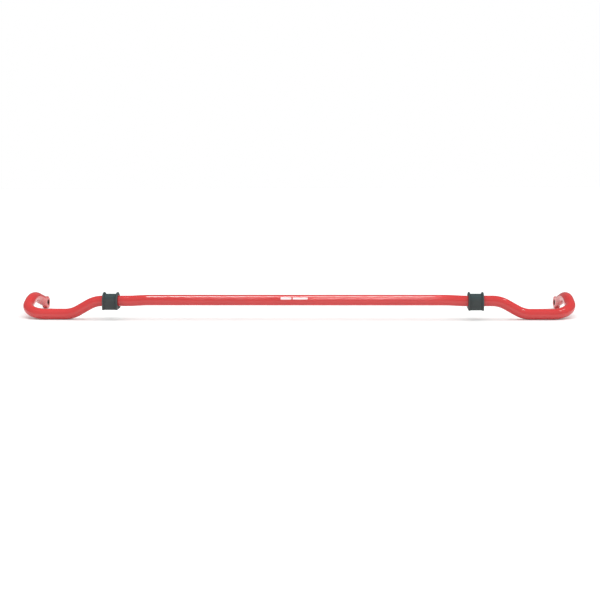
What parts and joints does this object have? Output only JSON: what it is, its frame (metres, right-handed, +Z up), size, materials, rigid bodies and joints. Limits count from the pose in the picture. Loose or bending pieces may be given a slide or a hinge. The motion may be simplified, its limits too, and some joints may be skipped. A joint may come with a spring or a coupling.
{
  "type": "sway bar",
  "caption": "Round steel torsion bar with bent arms and forged drilled eyes, carried in D-shaped rubber bushes that slide and turn on it.",
  "frame": {"origin": "middle of the bar's length and depth, on the surface that it lies on", "axes": "+X along the bar towards the right bush, +Y from the main run back to the eyes, +Z up"},
  "size_m": [1.1736, 0.1926, 0.0578],
  "materials": {
    "red_coat": "gloss powder coat",
    "bush_rubber": "satin",
    "liner_fabric": "woven, dry"
  },
  "bodies": {
    "bar": {"bar": "red_coat"},
    "sleeve_left": {"liner_left": "liner_fabric"},
    "sleeve_right": {"liner_right": "liner_fabric"},
    "mount_left": {"bush_left": "bush_rubber"},
    "mount_right": {"bush_right": "bush_rubber"}
  },
  "joints": [
    {"name": "bush_left_slide", "type": "slide", "parent": "bar", "child": "sleeve_left", "axis": [1, 0, 0], "range_m": [-0.0015, 0.0228]},
    {"name": "bush_right_slide", "type": "slide", "parent": "bar", "child": "sleeve_right", "axis": [1, 0, 0], "range_m": [-0.0065, 0.0178]},
    {"name": "bush_left_turn", "type": "hinge", "parent": "sleeve_left", "child": "mount_left", "pos_m": [-0.3888, -0.07758, 0.03905], "axis": [1, 0, 0], "continuous": true},
    {"name": "bush_right_turn", "type": "hinge", "parent": "sleeve_right", "child": "mount_right", "pos_m": [0.3725, -0.07758, 0.03905], "axis": [1, 0, 0], "continuous": true}
  ]
}
